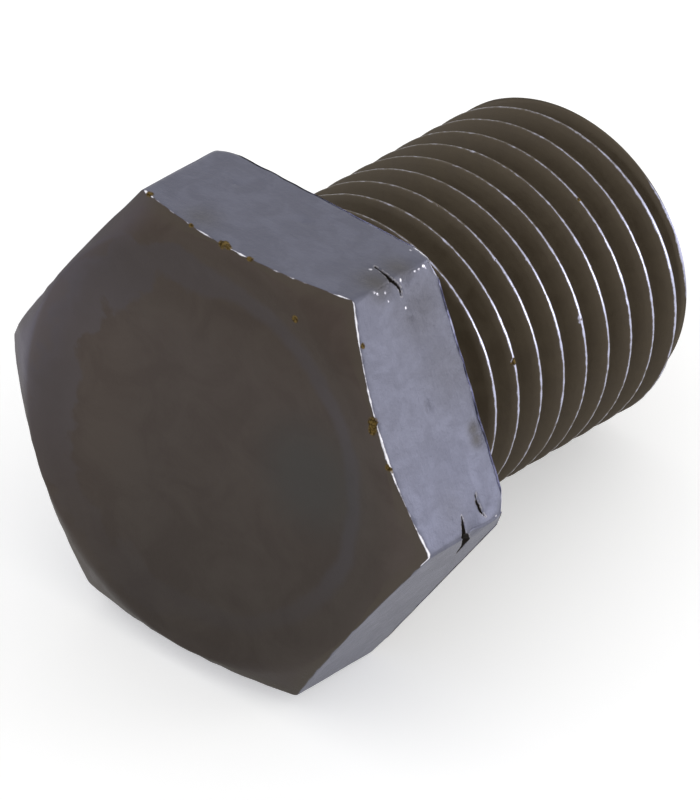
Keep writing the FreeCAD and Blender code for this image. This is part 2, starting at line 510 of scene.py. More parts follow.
def thread_rows(angle):
    """Rows that climb with the thread, from the relief's floor down to the tip's end face."""
    flank = THREAD_DEPTH / FLANK_SLOPE
    marks = [share * HALF_CREST for share in CREST_ROWS]
    marks += [HALF_CREST + share * flank for share in FLANK_ROWS]
    offsets = [0] + marks + [-mark for mark in marks]
    turns = range(-1, math.ceil(SHANK_LENGTH / PITCH) + 3)
    starts = [first_crest(0) + turn * PITCH + offset for turn in turns for offset in offsets]
    rows = []
    for start in sorted(starts, reverse=True):
        height = start + PITCH * angle / TURN
        if height.min() < -RELIEF_WIDTH and height.max() > -SHANK_LENGTH:
            height = np.clip(height, -SHANK_LENGTH, -RELIEF_WIDTH)
            rows.append(np.stack([thread_radius(angle, height), height], axis=-1))
    return rows


def end_face_rows(angle):
    """The plain end face of the tip."""
    one = np.ones_like(angle)
    return [np.stack([radius * one, -SHANK_LENGTH * one], axis=-1) for radius in END_FACE_ROWS]


def plug_surface():
    """The whole plug as one closed skin, in its own frame and in millimetres."""
    angle = columns()
    relief_end = np.stack([np.full_like(angle, NECK), np.full_like(angle, -RELIEF_WIDTH)], axis=-1)
    rows = head_rows(angle) + [relief_end] + thread_rows(angle) + end_face_rows(angle)
    grid = np.array([
        np.stack([row[:, 0] * np.cos(angle), row[:, 0] * np.sin(angle), row[:, 1]], axis=-1)
        for row in rows
    ])
    count = len(angle)
    points = [tuple(point) for point in grid.reshape(-1, 3)]
    faces = []
    for row in range(len(rows) - 1):
        for column in range(count - 1):
            corner = row * count + column
            faces.append((corner, corner + count, corner + count + 1, corner + 1))
    face_centre = len(points)
    tip_centre = face_centre + 1
    points += [(0, 0, HEAD_HEIGHT - DISH_DEPTH), (0, 0, -SHANK_LENGTH)]
    last = (len(rows) - 1) * count
    for column in range(count - 1):
        faces.append((face_centre, column, column + 1))
        faces.append((tip_centre, last + column + 1, last + column))
    mesh = bpy.data.meshes.new("plug")
    mesh.from_pydata(points, [], faces)
    skin = bmesh.new()
    skin.from_mesh(mesh)
    bmesh.ops.remove_doubles(skin, verts=skin.verts, dist=WELD)
    bmesh.ops.recalc_face_normals(skin, faces=skin.faces)
    skin.to_mesh(mesh)
    skin.free()
    return mesh


# Wear, all of it cut into the metal and nothing added

class Skin:
    """The plug's points before any wear, with where each lies on the head."""

    def __init__(self, mesh):
        self.points = read(mesh.vertices, "co")
        self.normals = read(mesh.vertices, "normal")
        x, y, self.height = self.points.T
        self.angle = np.arctan2(y, x)
        self.radius = np.hypot(x, y)
        self.flat = np.round((np.degrees(self.angle) - RIGHT_FLAT) / 60) * 60 + RIGHT_FLAT
        self.on_right = self.flat == RIGHT_FLAT
        self.on_top = self.flat == TOP_FLAT
        self.across = self.radius * np.sin(self.angle - np.radians(self.flat))
        hexagon = hexagon_radius(self.angle)
        self.to_front = np.hypot(hexagon - self.radius, front_edge(hexagon) - self.height)
        self.to_rear = np.hypot(hexagon - self.radius, rear_edge(hexagon) - self.height)
        self.on_side = (self.radius > hexagon - SIDE_MARGIN) & (self.height > -ON_SURFACE)
        self.to_corner = np.where(self.on_side, HALF_SIDE - np.abs(self.across), FAR)
        self.on_thread = self.height < -RELIEF_WIDTH


def read(items, name):
    values = np.empty(len(items) * 3)
    items.foreach_get(name, values)
    return values.reshape(-1, 3)


def distance(skin, place):
    """How far each point is from a place."""
    return np.linalg.norm(skin.points - place, axis=1)


def near_chip(skin, flat, across, half_length):
    """1 beside a chip in a flat's front edge and 0 away from it."""
    return np.where(skin.flat == flat, np.exp(-((skin.across - across) / half_length) ** 4), 0)


def thread_place(angle, height):
    """The point on the thread's crest that is nearest to a height."""
    turn = math.radians(angle)
    crest = first_crest(turn)
    crest = crest + PITCH * round((height - crest) / PITCH)
    return np.array([MAJOR * math.cos(turn), MAJOR * math.sin(turn), crest])


def strip_width(strip, patchy, fine):
    """Width of a strip of bare metal, which patchy and fine noise change along its edge."""
    width, by_patchy, by_fine = strip
    return width + by_patchy * patchy + by_fine * fine


def crest_strip(skin, patchy, fine):
    """How far each point of the thread is inside the bare metal on a crest or on the tip's edge. The
    crests' strip is widest on the side that the camera sees, a painted highlight, and hardly there at the
    top, painted shade."""
    angle = np.degrees(skin.angle)
    # Painted highlight: the crests' bare strip widens towards their lit side
    rubbed_and_highlit = np.exp(-((angle - HIGHLIGHT_TOWARDS) / HIGHLIGHT_SPREAD) ** 2)
    last = LAST_CREST * smooth(*LAST_CREST_HEIGHTS, skin.height)
    crest = strip_width(CREST_STRIP, patchy, fine) + CREST_HIGHLIGHT * rubbed_and_highlit + last
    crest = crest - from_crest(skin.angle, skin.height)
    # Painted shade: away from the lit side, the crests have no bare strip at the top
    crest = np.minimum(crest, CREST_WIDEST * smooth(*CREST_ENDS, angle) + HIGHLIGHT_WIDEST * rubbed_and_highlit)
    crest = crest - DROP_FALL * np.maximum(MAJOR - skin.radius - CREST_DROP, 0)
    to_edge = np.abs(MAJOR - groove_depth(skin.angle, skin.height) - tip_chamfer(skin.height))
    tip = TIP_HIGHLIGHT * rubbed_and_highlit + TIP_PATCHY * patchy - TIP_FALL * to_edge
    tip = np.where(skin.radius > TIP - TIP_MARGIN, tip, OUTSIDE)
    return np.maximum(crest, tip)


def bare_strip(skin):
    """How far each point is inside the strip that has lost its blackening, in millimetres, along
    the edges of the head and the crests of the thread, widened in places as painted highlights and glints.
    It is negative on blackened metal."""
    fine = lumps(skin.points, FINE)
    patchy = lumps(skin.points, PATCHES)
    front = np.select([skin.on_right, skin.on_top], [FRONT_RIGHT, FRONT_TOP], FRONT_HIDDEN)
    front = front + FRONT_FINE * fine
    for flat, across, half_length, strip in CHIPS:
        front = front + strip * near_chip(skin, flat, across, half_length)
    # Painted highlight: the rear edge's bare strip is widened where the camera sees it
    seen = np.where(skin.on_right, 1, skin.on_top * smooth(*TOP_REAR_HIGHLIGHT, skin.across))
    rear = strip_width(REAR_STRIP, patchy, fine) + REAR_SEEN_HIGHLIGHT * seen
    bare = np.maximum(front - skin.to_front, rear - skin.to_rear)
    bare = np.maximum(bare, strip_width(CORNER_STRIP, patchy, fine) - skin.to_corner)
    bare = np.where(skin.on_thread, crest_strip(skin, patchy, fine), bare)
    spots = [(on_flat(*spot[:3]), spot[3]) for spot in GLINT_SPECKS]
    spots += [(thread_place(*spot[:2]), spot[2]) for spot in THREAD_SPECKS]
    for centre, radius in spots:
        inside = radius * (1 + SPOT_RAGGED * fine) - distance(skin, centre)
        bare = np.maximum(bare, np.minimum(inside, SPOT_BRIGHT))
    return np.maximum(bare, OUTSIDE)


def rust_share(skin):
    """1 in the middle of each rust spot, fading to 0 around it."""
    rust = np.zeros(len(skin.points))
    spots = [(on_flat(*spot[:3]), spot[3]) for spot in HEAD_RUST]
    for angle, height, radius, rusty in THREAD_SPECKS:
        if rusty:
            spots.append((thread_place(angle, height), RUST_SPREAD * radius * rusty))
    for angle, radius, size in FACE_RUST:
        turn = math.radians(angle)
        spots.append((np.array([radius * math.cos(turn), radius * math.sin(turn), HEAD_HEIGHT]), size))
    for centre, radius in spots:
        rust = np.maximum(rust, np.exp(-(distance(skin, centre) / radius) ** 2))
    return rust


def stain_share(skin):
    """How strongly the steel is tinged brown."""
    on_chamfer = skin.height > front_edge(skin.radius) - ON_SURFACE
    stain = FRONT_STAIN * smooth(*FRONT_STAIN_REACH, skin.to_front) * on_chamfer
    for flat, across, height, radius, strength in STAINS:
        gap = distance(skin, on_flat(flat, across, height))
        stain = np.maximum(stain, strength * np.exp(-(gap / radius) ** 2))
    return stain


def nick_inside(skin):
    """How far each point is inside a nick, in millimetres, and how deep the metal is struck in."""
    ragged = NICK_RAGGED * lumps(skin.points, RAGGED)
    inside = np.full(len(skin.points), OUTSIDE)
    depth = np.zeros(len(skin.points))
    for deepest, line in NICKS:
        here = inside_line(skin.points, line) + ragged
        widest = max(stop[3] for stop in line)
        inside = np.maximum(inside, here)
        depth = np.maximum(depth, deepest * smooth(NICK_SHOULDER, widest, here))
    return inside, depth


def worn_points(skin, depth, stain):
    """The points after wear, each pushed inwards from where it was. Stained places are rougher."""
    points = skin.points
    swells = SWELL_DEPTH * (1 + lumps(points, SWELLS)) + RIPPLE_DEPTH * (1 + lumps(points, RIPPLES))
    pitted = (CLEAN_PITTING + stain) * skin.on_right * skin.on_side
    inward = swells + PITTING_DEPTH * pitted * (1 + lumps(points, PITTING))
    inward = np.where(skin.on_thread, THREAD_SWELLS * inward, inward)
    chip = CHIPPING_DEPTH * smooth(*CHIPPING_START, lumps(points, CHIPPING))
    chip = chip + NIBBLE_DEPTH * (1 + lumps(points, NIBBLES)) * skin.on_right
    for flat, across, half_length, strip in CHIPS:
        chip = chip + CHIP_DEPTH * strip * near_chip(skin, flat, across, half_length)
    inward = inward + chip * near(skin.to_front, FRONT_REACH)
    dent = DENT_DEPTH * (1 + lumps(points, DENTS))
    inward = inward + dent * near(skin.to_rear, REAR_REACH)
    bent = BEND_DEPTH * (1 + lumps(points, BENDS)) * skin.on_right
    inward = inward + bent * near(skin.to_rear, BEND_REACH)
    rubbed_and_highlit = RUBBING_DEPTH * (1 + lumps(points, RUBBING)) * (skin.on_right | skin.on_top)
    inward = inward + rubbed_and_highlit * near(skin.to_corner, CORNER_REACH)
    for flat, across, height, radius, deep in DINTS:
        gap = distance(skin, on_flat(flat, across, height)) / radius
        inward = inward + deep * np.exp(-gap ** 2)
    burr = np.maximum(BURR_DEPTH * lumps(points, BURRS), 0)
    inward = inward + burr * (skin.on_thread & (skin.radius > MAJOR - BURR_REACH))
    facing = np.radians(skin.flat)
    flat_normal = np.stack([np.cos(facing), np.sin(facing), np.zeros_like(facing)], axis=-1)
    return points - inward[:, None] * skin.normals - depth[:, None] * flat_normal


def store(mesh, name, kind, values):
    field = "vector" if kind == "FLOAT_VECTOR" else "value"
    mesh.attributes.new(name, kind, "POINT").data.foreach_set(field, np.ravel(values))


def finish_numbers(mesh):
    """Which finish each face of the mesh has. That of the thread is also on the head's rear."""
    height = read(mesh.polygons, "center")[:, 2]
    facing = read(mesh.polygons, "normal")[:, 2]
    numbers = np.full(len(mesh.polygons), THREAD_FINISH)
    numbers[(height > 0) & (np.abs(facing) < END_FACING)] = FLAT_FINISH
    numbers[(height > HEAD_HEIGHT / 2) & (facing > END_FACING)] = FACE_FINISH
    return numbers


def make_plug():
    """The plug with its wear, laid down in the row's frame."""
    mesh = plug_surface()
    skin = Skin(mesh)
    inside, depth = nick_inside(skin)
    stain = stain_share(skin)
    numbers = finish_numbers(mesh)
    store(mesh, "place", "FLOAT_VECTOR", skin.points)
    store(mesh, "bare", "FLOAT", bare_strip(skin))
    store(mesh, "rust", "FLOAT", rust_share(skin))
    store(mesh, "stain", "FLOAT", stain)
    store(mesh, "nick", "FLOAT", inside)
    mesh.vertices.foreach_set("co", np.ravel(worn_points(skin, depth, stain)))
    mesh.transform(Matrix.Scale(MM, 4) @ LAID)
    for material in (top_face_steel(), flat_steel(), thread_steel()):
        mesh.materials.append(material)
    mesh.polygons.foreach_set("material_index", numbers)
    mesh.polygons.foreach_set("use_smooth", np.ones(len(numbers), bool))
    mesh.update()
    plug = bpy.data.objects.new("plug", mesh)
    bpy.context.scene.collection.objects.link(plug)
    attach(plug, "root")
    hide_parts("drain_plug")


# Finishes

def colour(red, green, blue):
    return red, green, blue, 1.0


WHITE = colour(1, 1, 1)
BRIGHT_EDGE = colour(0.93, 0.92, 0.97)
# Bare steel of the crests, tinted blue as a painted cool highlight
BRIGHT_CREST = colour(0.50, 0.51, 0.68)
THIN_BLACKENING = colour(0.33, 0.32, 0.38)
BROWN_STAIN = colour(0.085, 0.075, 0.055)
DARK_RUST = colour(0.070, 0.046, 0.016)
PALE_RUST = colour(0.21, 0.145, 0.050)
# Painted highlight on the lips of nicks, and painted shade in their bottoms
NICK_LIP_HIGHLIGHT = colour(0.40, 0.38, 0.40)
NICK_SHADE = colour(0.022, 0.018, 0.015)
FACE_DARK = colour(0.056, 0.047, 0.044)
FACE_LIGHT = colour(0.070, 0.060, 0.056)
FACE_RING = colour(0.065, 0.060, 0.068)
FACE_LEFT_RIM = colour(0.092, 0.092, 0.126)
FACE_COOL = colour(0.051, 0.052, 0.051)
# The flats' paler grey is their own, and their blue tint is a painted cool reflection
FLAT_DARK = colour(0.126, 0.128, 0.166)
FLAT_LIGHT = colour(0.142, 0.145, 0.189)
THREAD_DARK = colour(0.064, 0.046, 0.026)
THREAD_LIGHT = colour(0.080, 0.060, 0.036)
# Tints that colours are multiplied by
TINT_LOWER = colour(0.83, 0.82, 0.77)
TINT_UPPER = colour(1.13, 1.09, 1.04)
TINT_TOP = colour(0.87, 0.85, 0.81)
TINT_PALE = colour(1.09, 1.07, 1.05)
TINT_RIM = colour(1.22, 1.20, 1.22)
TINT_LOW = colour(1.12, 1.13, 1.16)

# How metallic the steel is, and how metallic the blackening in the thread's grooves is
METAL = 1.0
GROOVE_METAL = 0.3
BARE_ROUGHNESS = 0.28
RUST_ROUGHNESS = 0.85
# Roughness of the painted shade in the bottoms of nicks
NICK_SHADE_ROUGHNESS = 0.9
# Roughness of the blackening in the dark and the light clouds
FACE_ROUGHNESS = (0.42, 0.52)
FLAT_ROUGHNESS = (0.46, 0.44)
THREAD_ROUGHNESS = (0.50, 0.60)
# How ragged the borders of the bare metal are
RAGGED_BORDER = 0.13
# The relief grows to this many times its depth as the stain grows to its full strength
STAINED_RELIEF = 2.2
FULL_STAIN = 0.6
# Fine relief of the steel: how fine its grain is, its depth, and the shares of pits and streaks in it
FACE_RELIEF = {"grain": 5.0, "relief": 0.008, "pits": 0.3, "streaks": 0.0}
FLAT_RELIEF = {"grain": 3.5, "relief": 0.030, "pits": 0.15, "streaks": 0.45}
THREAD_RELIEF = {"grain": 6.0, "relief": 0.008, "pits": 0.3, "streaks": 0.0}

# Zones of the top face, each given by the places where it begins and ends. The ring lies between two
# radii, and it spreads outwards to the left.
RING_INSIDE = (6.9, 7.3)
RING_OUTSIDE = (7.6, 8.1)
RING_SPREADS = (2.0, -6.0)
RING_SPREAD = 1.3
RING_WANDER = (0.15, 0.8)
RING_FADES = (-7.0, -1.0)
RING_STRENGTH = (0.2, 0.7)
# The bluer rim on the left: the radii where it begins, its strength, and the way to the left in x and y
RIM_BEGINS = (7.6, 9.4)
RIM_SHARE = 0.3
RIM_EDGE = (9.25, 9.5)
RIM_EDGE_SHARE = 0.4
LEFT_X = -0.94
LEFT_Y = 0.34
LEFT_BEGINS = (6.8, 9.2)
# The face grows paler upwards, which is along y and a little against x, and duller again at the top
UP_X = -0.3
UP_RANGE = (-13.0, 10.0)
TOP_BEGINS = (3.5, 7.5)
# A paler patch on the left, and a cooler one round a place on the right
PALE_LEFT = (-2.0, -6.5)
PALE_BELOW = (6.0, 2.0)
COOL_PLACE = (5.1, 1.2, HEAD_HEIGHT)
COOL_FADES = (3.6, 0.6)
COOL_SHARE = 0.6
# Radii between which the rim and the chamfer grow paler
CHAMFER_PALER = (8.6, 10.2)
# The right and left flats grow paler downwards, along y, and that ends at their lower corners
LOW_PALER = (5.0, 1.0)
LOW_ENDS = (-0.3, 0.3)


class Nodes:
    """Adds nodes to a material or a group and wires their sockets."""

    def __init__(self, tree):
        self.tree = tree

    def add(self, kind, inputs=None, **settings):
        node = self.tree.nodes.new(kind)
        for name, value in settings.items():
            setattr(node, name, value)
        for name, value in (inputs or {}).items():
            self.feed(node.inputs[name], value)
        return node

    def feed(self, socket, value):
        if isinstance(value, bpy.types.NodeSocket):
            self.tree.links.new(value, socket)
        else:
            socket.default_value = value

    def attribute(self, name, output="Fac"):
        return self.add("ShaderNodeAttribute", attribute_name=name).outputs[output]

    def noise(self, place, scale, detail=4.0, roughness=0.55, distortion=0.0):
        inputs = {"Vector": place, "Scale": scale, "Detail": detail}
        inputs.update({"Roughness": roughness, "Distortion": distortion})
        return self.add("ShaderNodeTexNoise", inputs).outputs["Fac"]

    def step(self, value, low, high, to_low=0.0, to_high=1.0):
        inputs = {"Value": value, "From Min": low, "From Max": high, "To Min": to_low, "To Max": to_high}
        return self.add("ShaderNodeMapRange", inputs, interpolation_type="SMOOTHSTEP").outputs["Result"]

    def maths(self, operation, first, second=0.0):
        return self.add("ShaderNodeMath", {0: first, 1: second}, operation=operation).outputs[0]

    def sum(self, first, second):
        return self.maths("ADD", first, second)

    def product(self, first, second):
        return self.maths("MULTIPLY", first, second)

    def centred(self, value, strength):
        """Noise round 0.5 as noise round 0, times a strength."""
        return self.product(self.maths("SUBTRACT", value, 0.5), strength)

    def blend(self, share, first, second):
        node = self.add("ShaderNodeMix", {0: share, 6: first, 7: second}, data_type="RGBA")
        return node.outputs[2]

    def blend_value(self, share, first, second):
        node = self.add("ShaderNodeMix", {0: share, 2: first, 3: second}, data_type="FLOAT")
        return node.outputs[0]

    def tinted(self, base, share, tint, from_tint=WHITE):
        """A colour multiplied by one tint, or by another as the share grows."""
        inputs = {0: 1.0, 6: base, 7: self.blend(share, from_tint, tint)}
        return self.add("ShaderNodeMix", inputs, data_type="RGBA", blend_type="MULTIPLY").outputs[2]

    def bump(self, height, distance):
        inputs = {"Height": height, "Distance": distance * MM, "Strength": 1.0}
        return self.add("ShaderNodeBump", inputs).outputs["Normal"]


def group(name, inputs, outputs):
    """An empty node group, the nodes in it, its input node's sockets and its output node's."""
    tree = bpy.data.node_groups.new(name, "ShaderNodeTree")
    for label, kind in inputs.items():
        tree.interface.new_socket(label, in_out="INPUT", socket_type=kind)
    for label, kind in outputs.items():
        tree.interface.new_socket(label, in_out="OUTPUT", socket_type=kind)
    nodes = Nodes(tree)
    entry = nodes.add("NodeGroupInput").outputs
    leave = nodes.add("NodeGroupOutput").inputs
    return tree, nodes, entry, leave


VECTOR = "NodeSocketVector"
FLOAT = "NodeSocketFloat"
COLOUR = "NodeSocketColor"


def mottle_group():
    """Blackening that took unevenly: soft clouds between two colours, with fine speckle in them."""
    tree, nodes, entry, leave = group(
        "mottled blackening",
        {"Place": VECTOR, "Cloud scale": FLOAT, "Speckle": FLOAT, "Dark": COLOUR, "Light": COLOUR},
        {"Colour": COLOUR, "Clouds": FLOAT},
    )
    scale = entry["Cloud scale"]
    clouds = nodes.noise(entry["Place"], scale, detail=5.0, roughness=0.6, distortion=0.6)
    clouds = nodes.step(clouds, 0.36, 0.66)
    speckle = nodes.noise(entry["Place"], scale=7.0, detail=3.0, roughness=0.7)
    share = nodes.sum(clouds, nodes.centred(speckle, entry["Speckle"]))
    share = nodes.add("ShaderNodeClamp", {"Value": share}).outputs[0]
    nodes.feed(leave["Colour"], nodes.blend(share, entry["Dark"], entry["Light"]))
    nodes.feed(leave["Clouds"], share)
    return tree


def bare_group():
    """Bare metal with a ragged border where the strip given is above zero, duller where it is thin."""
    inputs = {"Place": VECTOR, "Strip": FLOAT, "Raggedness": FLOAT}
    inputs.update({"Colour": COLOUR, "Thin": COLOUR, "Metal": COLOUR})
    tree, nodes, entry, leave = group("bare metal", inputs, {"Colour": COLOUR, "Bare": FLOAT})
    ragged = nodes.noise(entry["Place"], scale=3.2, detail=5.0, roughness=0.65)
    inside = nodes.sum(entry["Strip"], nodes.centred(ragged, entry["Raggedness"]))
    bare = nodes.step(inside, -0.02, 0.03)
    rubbed_and_highlit = nodes.blend(nodes.step(inside, 0.0, 0.05), entry["Thin"], entry["Metal"])
    nodes.feed(leave["Colour"], nodes.blend(bare, entry["Colour"], rubbed_and_highlit))
    nodes.feed(leave["Bare"], bare)
    return tree


def stain_group():
    """A brown tinge over the steel."""
    tree, nodes, entry, leave = group("stain", {"Stain": FLOAT, "Colour": COLOUR}, {"Colour": COLOUR})
    brown = nodes.blend(0.65, entry["Colour"], BROWN_STAIN)
    nodes.feed(leave["Colour"], nodes.blend(entry["Stain"], entry["Colour"], brown))
    return tree


def rust_group():
    """Rust that breaks up into grains round its spots."""
    tree, nodes, entry, leave = group(
        "rust",
        {"Place": VECTOR, "Rust": FLOAT, "Colour": COLOUR},
        {"Colour": COLOUR, "Rusty": FLOAT},
    )
    grains = nodes.noise(entry["Place"], scale=5.0, detail=4.0, roughness=0.6)
    rusty = nodes.step(nodes.product(entry["Rust"], grains), 0.14, 0.30)
    tint = nodes.noise(entry["Place"], scale=9.0, detail=2.0, roughness=0.5)
    shade = nodes.blend(nodes.step(tint, 0.35, 0.65), DARK_RUST, PALE_RUST)
    nodes.feed(leave["Colour"], nodes.blend(rusty, entry["Colour"], shade))
    nodes.feed(leave["Rusty"], rusty)
    return tree


def grain_group():
    """Height of the steel's fine skin: scale from forging, small pits and streaks round the head."""
    tree, nodes, entry, leave = group(
        "forged grain",
        {"Place": VECTOR, "Scale": FLOAT, "Pits": FLOAT, "Streaks": FLOAT},
        {"Height": FLOAT},
    )
    scale = nodes.noise(entry["Place"], entry["Scale"], detail=6.0, roughness=0.70)
    holes = nodes.add("ShaderNodeTexVoronoi", {"Vector": entry["Place"], "Scale": 2.1, "Randomness": 1.0})
    pits = nodes.step(holes.outputs["Distance"], 0.02, 0.16, 1.0, 0.0)
    pits = nodes.product(pits, entry["Pits"])
    drawn = nodes.add("ShaderNodeVectorMath", {0: entry["Place"], 1: (0.9, 0.9, 5.0)}, operation="MULTIPLY")
    streaks = nodes.noise(drawn.outputs[0], scale=1.0, detail=3.0)
    streaks = nodes.product(streaks, entry["Streaks"])
    nodes.feed(leave["Height"], nodes.sum(nodes.maths("SUBTRACT", scale, pits), streaks))
    return tree


def nick_group():
    """Painted shade in the bottom of a nick, with a painted highlight on the lip along its sides."""
    tree, nodes, entry, leave = group(
        "nick",
        {"Place": VECTOR, "Inside": FLOAT, "Colour": COLOUR},
        {"Colour": COLOUR, "Shaded": FLOAT},
    )
    ragged = nodes.noise(entry["Place"], scale=6.0, detail=3.0, roughness=0.6)
    inside = nodes.sum(entry["Inside"], nodes.step(ragged, 0.2, 0.8, -0.015, 0.015))
    lip = nodes.product(nodes.step(inside, -0.07, -0.03), nodes.step(ragged, 0.4, 0.6, 0.0, 0.5))
    shaded = nodes.step(inside, -0.01, 0.025)
    rubbed_and_highlit = nodes.blend(lip, entry["Colour"], NICK_LIP_HIGHLIGHT)
    nodes.feed(leave["Colour"], nodes.blend(shaded, rubbed_and_highlit, NICK_SHADE))
    nodes.feed(leave["Shaded"], shaded)
    return tree


GROUPS = {
    make: make()
    for make in (mottle_group, stain_group, bare_group, rust_group, grain_group, nick_group)
}


def use(nodes, make, inputs):
    node = nodes.add("ShaderNodeGroup", node_tree=GROUPS[make])
    for name, value in inputs.items():
        nodes.feed(node.inputs[name], value)
    return node.outputs


def principled(name, metallic):
    """A new material, the nodes in it and its principled shader."""
    material = bpy.data.materials.new(name)
    material.use_nodes = True
    nodes = Nodes(material.node_tree)
    shader = material.node_tree.nodes["Principled BSDF"]
    shader.inputs["Metallic"].default_value = metallic
    return material, nodes, shader


def steel(name, metallic):
    """A new material of the plug, its nodes, its shader and each point's place before the wear."""
    material, nodes, shader = principled(name, metallic)
    return material, nodes, shader, nodes.attribute("place", "Vector")


def mottled(nodes, place, dark, light, scale, speckle):
    """The blackening's colour and its clouds."""
    inputs = {"Place": place, "Cloud scale": scale, "Speckle": speckle, "Dark": dark, "Light": light}
    return use(nodes, mottle_group, inputs)


def finished(nodes, shader, place, base, metal, roughness, grain, relief, pits, streaks):
    """Stains, wear and rust over a base colour, with the painted shade and highlights of nicks, wired to
    the shader. The roughness is that of the blackened metal, and bare metal, rust and the painted shade in
    nicks have their own. Gives the share of bare metal."""
    stain = nodes.attribute("stain")
    tinged = use(nodes, stain_group, {"Stain": stain, "Colour": base})
    strip = {"Place": place, "Strip": nodes.attribute("bare"), "Raggedness": RAGGED_BORDER}
    strip.update({"Colour": tinged["Colour"], "Thin": THIN_BLACKENING, "Metal": metal})
    worn = use(nodes, bare_group, strip)
    rust_spots = nodes.attribute("rust")
    rust = use(nodes, rust_group, {"Place": place, "Rust": rust_spots, "Colour": worn["Colour"]})
    nicks = nodes.attribute("nick")
    nick = use(nodes, nick_group, {"Place": place, "Inside": nicks, "Colour": rust["Colour"]})
    nodes.feed(shader.inputs["Base Color"], nick["Colour"])
    rough = nodes.blend_value(worn["Bare"], roughness, BARE_ROUGHNESS)
    rough = nodes.blend_value(rust["Rusty"], rough, RUST_ROUGHNESS)
    rough = nodes.blend_value(nick["Shaded"], rough, NICK_SHADE_ROUGHNESS)
    nodes.feed(shader.inputs["Roughness"], rough)
    forged = {"Place": place, "Scale": grain, "Pits": pits, "Streaks": streaks}
    height = use(nodes, grain_group, forged)["Height"]
    height = nodes.product(height, nodes.step(stain, 0.0, FULL_STAIN, 1.0, STAINED_RELIEF))
    nodes.feed(shader.inputs["Normal"], nodes.bump(height, relief))
    return worn["Bare"]


def faced_ring(nodes, place, apart, radius):
    """The ring on the top face, and the distance from the axis with the wander of its borders."""
    spread = nodes.step(apart["X"], *RING_SPREADS, 0.0, RING_SPREAD)
    wander = nodes.step(nodes.noise(place, scale=0.45, detail=5.0), 0.25, 0.75, -1.0, 1.0)
    wander = nodes.product(wander, nodes.step(spread, 0.0, RING_SPREAD, *RING_WANDER))
    edge = nodes.sum(radius, wander)
    outer = nodes.step(nodes.maths("SUBTRACT", edge, spread), *RING_OUTSIDE, 1.0, 0.0)
    ring = nodes.product(nodes.step(edge, *RING_INSIDE), outer)
    return nodes.product(ring, nodes.step(apart["Y"], *RING_FADES, *RING_STRENGTH)), edge


def left_rim(nodes, apart, radius, edge):
    """The bluer rim on the left of the top face."""
    left = nodes.sum(nodes.product(apart["X"], LEFT_X), nodes.product(apart["Y"], LEFT_Y))
    left = nodes.step(left, *LEFT_BEGINS)
    outer = nodes.step(edge, *RIM_BEGINS, 0.0, RIM_SHARE)
    outer = nodes.sum(outer, nodes.step(radius, *RIM_EDGE, 0.0, RIM_EDGE_SHARE))
    return nodes.product(outer, left)


def top_face_steel():
    """The dished top face and its chamfer: brown-black, bluer where it was faced."""
    material, nodes, shader, place = steel("blackened top face", METAL)
    mottle = mottled(nodes, place, FACE_DARK, FACE_LIGHT, scale=0.42, speckle=0.30)
    apart = nodes.add("ShaderNodeSeparateXYZ", {"Vector": place}).outputs
    square = nodes.sum(nodes.maths("POWER", apart["X"], 2.0), nodes.maths("POWER", apart["Y"], 2.0))
    radius = nodes.maths("SQRT", square)
    ring, edge = faced_ring(nodes, place, apart, radius)
    base = nodes.blend(ring, mottle["Colour"], FACE_RING)
    base = nodes.blend(left_rim(nodes, apart, radius, edge), base, FACE_LEFT_RIM)
    upward = nodes.step(nodes.sum(apart["Y"], nodes.product(apart["X"], UP_X)), *UP_RANGE)
    base = nodes.tinted(base, upward, TINT_UPPER, from_tint=TINT_LOWER)
    base = nodes.tinted(base, nodes.step(apart["Y"], *TOP_BEGINS), TINT_TOP)
    pale = nodes.product(nodes.step(apart["X"], *PALE_LEFT), nodes.step(apart["Y"], *PALE_BELOW))
    base = nodes.tinted(base, pale, TINT_PALE)
    away = nodes.add("ShaderNodeVectorMath", {0: place, 1: COOL_PLACE}, operation="DISTANCE")
    cool = nodes.step(away.outputs["Value"], *COOL_FADES, 0.0, COOL_SHARE)
    base = nodes.blend(cool, base, FACE_COOL)
    base = nodes.tinted(base, nodes.step(radius, *CHAMFER_PALER), TINT_RIM)
    rough = nodes.step(mottle["Clouds"], 0.0, 1.0, *FACE_ROUGHNESS)
    finished(nodes, shader, place, base, BRIGHT_EDGE, rough, **FACE_RELIEF)
    return material


def flat_steel():
    """The six forged flats: grey steel showing through thin blackening, tinted blue as a painted cool
    reflection.
    """
    material, nodes, shader, place = steel("thinly blackened flats", METAL)
    mottle = mottled(nodes, place, FLAT_DARK, FLAT_LIGHT, scale=0.8, speckle=0.8)
    upward = nodes.add("ShaderNodeSeparateXYZ", {"Vector": place}).outputs["Y"]
    low = nodes.product(nodes.step(upward, *LOW_PALER), nodes.step(upward, *LOW_ENDS))
    base = nodes.tinted(mottle["Colour"], low, TINT_LOW)
    rough = nodes.step(mottle["Clouds"], 0.0, 1.0, *FLAT_ROUGHNESS)
    finished(nodes, shader, place, base, BRIGHT_EDGE, rough, **FLAT_RELIEF)
    return material


def thread_steel():
    """The rear of the head and the shank: brown-black in the grooves, bright on the crests."""
    material, nodes, shader, place = steel("blackened thread", GROOVE_METAL)
    mottle = mottled(nodes, place, THREAD_DARK, THREAD_LIGHT, scale=0.8, speckle=0.5)
    rough = nodes.step(mottle["Clouds"], 0.0, 1.0, *THREAD_ROUGHNESS)
    bare = finished(nodes, shader, place, mottle["Colour"], BRIGHT_CREST, rough, **THREAD_RELIEF)
    nodes.feed(shader.inputs["Metallic"], nodes.blend_value(bare, GROOVE_METAL, METAL))
    return material


# Studio, with its sizes in metres

FLOOR_HALF = 0.6
FLOOR_COLOUR = colour(0.88, 0.88, 0.88)
FLOOR_ROUGHNESS = 0.9
FLOOR_GLOW = 0.38
